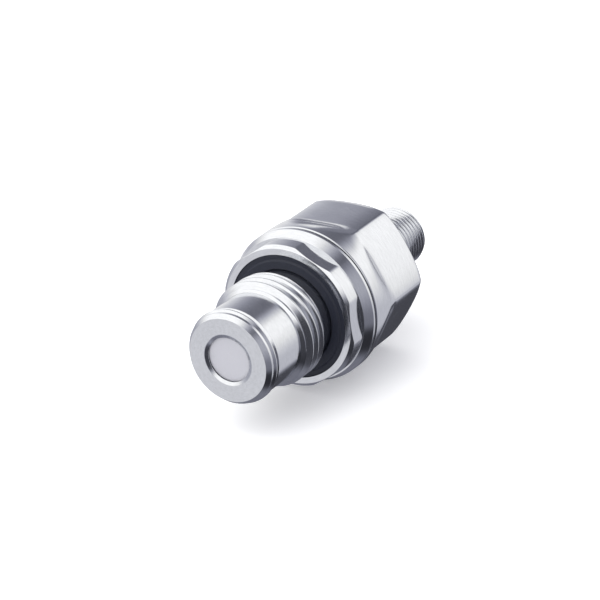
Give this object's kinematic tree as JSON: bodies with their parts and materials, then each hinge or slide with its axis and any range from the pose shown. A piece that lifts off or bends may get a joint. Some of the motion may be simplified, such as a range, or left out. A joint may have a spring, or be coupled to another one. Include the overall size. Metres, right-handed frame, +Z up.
{
  "type": "pressure transmitter",
  "caption": "Flush-fronted pressure transmitter: measuring tip, pipe thread with seal, hexagonal flange, hexagonal steel housing and threaded round plug connector.",
  "frame": {"origin": "on the axis, in the plane of the flange's seating face, which meets the process port", "axes": "+Y along the axis towards the plug connector, so the measuring tip points to -Y; +Z up, square to an upper flat of the housing; the transmitter lies level, as pictured"},
  "size_m": [0.0303, 0.0629, 0.0302],
  "materials": {
    "turned_steel": "bright turned stainless steel, finely brushed on the flats",
    "seal_rubber": "smooth matte black rubber",
    "cell_ceramic": "smooth unglazed light grey ceramic",
    "cell_frit": "fused sealing ring",
    "circuit_board": "green solder resist",
    "chip_black": "moulded black",
    "chip_ceramic": "fired tan ceramic",
    "can_metal": "bright tinned can",
    "choke_ferrite": "dark sintered ferrite",
    "ribbon_amber": "amber film",
    "holder_plastic": "grey moulded plastic",
    "connector_plastic": "black moulded plastic",
    "contact_gold": "gold-plated, smooth"
  },
  "bodies": {
    "root": {"process_fitting": "turned_steel", "housing_shell": "turned_steel", "connector_sleeve": "turned_steel", "thrust_ring": "turned_steel", "cell_lock_ring": "turned_steel", "thread_seal": "seal_rubber", "diaphragm_seal": "seal_rubber", "housing_o_ring": "seal_rubber", "connector_o_ring": "seal_rubber", "carrier_o_ring": "seal_rubber", "measuring_diaphragm": "cell_ceramic", "cell_body": "cell_ceramic", "cell_joint_ring": "cell_frit", "cell_board": "circuit_board", "signal_board": "circuit_board", "output_board": "circuit_board", "cell_chip": "chip_black", "signal_processor": "chip_black", "output_driver": "chip_black", "surge_diodes": "chip_black", "board_header": "chip_black", "board_socket": "chip_black", "signal_capacitors": "chip_ceramic", "signal_resonator": "can_metal", "output_choke": "choke_ferrite", "flex_lead": "ribbon_amber", "board_holder": "holder_plastic", "contact_carrier": "connector_plastic", "cell_terminals": "contact_gold", "header_pins": "contact_gold", "contact_pin_1": "contact_gold", "contact_pin_2": "contact_gold", "contact_pin_3": "contact_gold", "contact_pin_4": "contact_gold"}
  },
  "joints": []
}
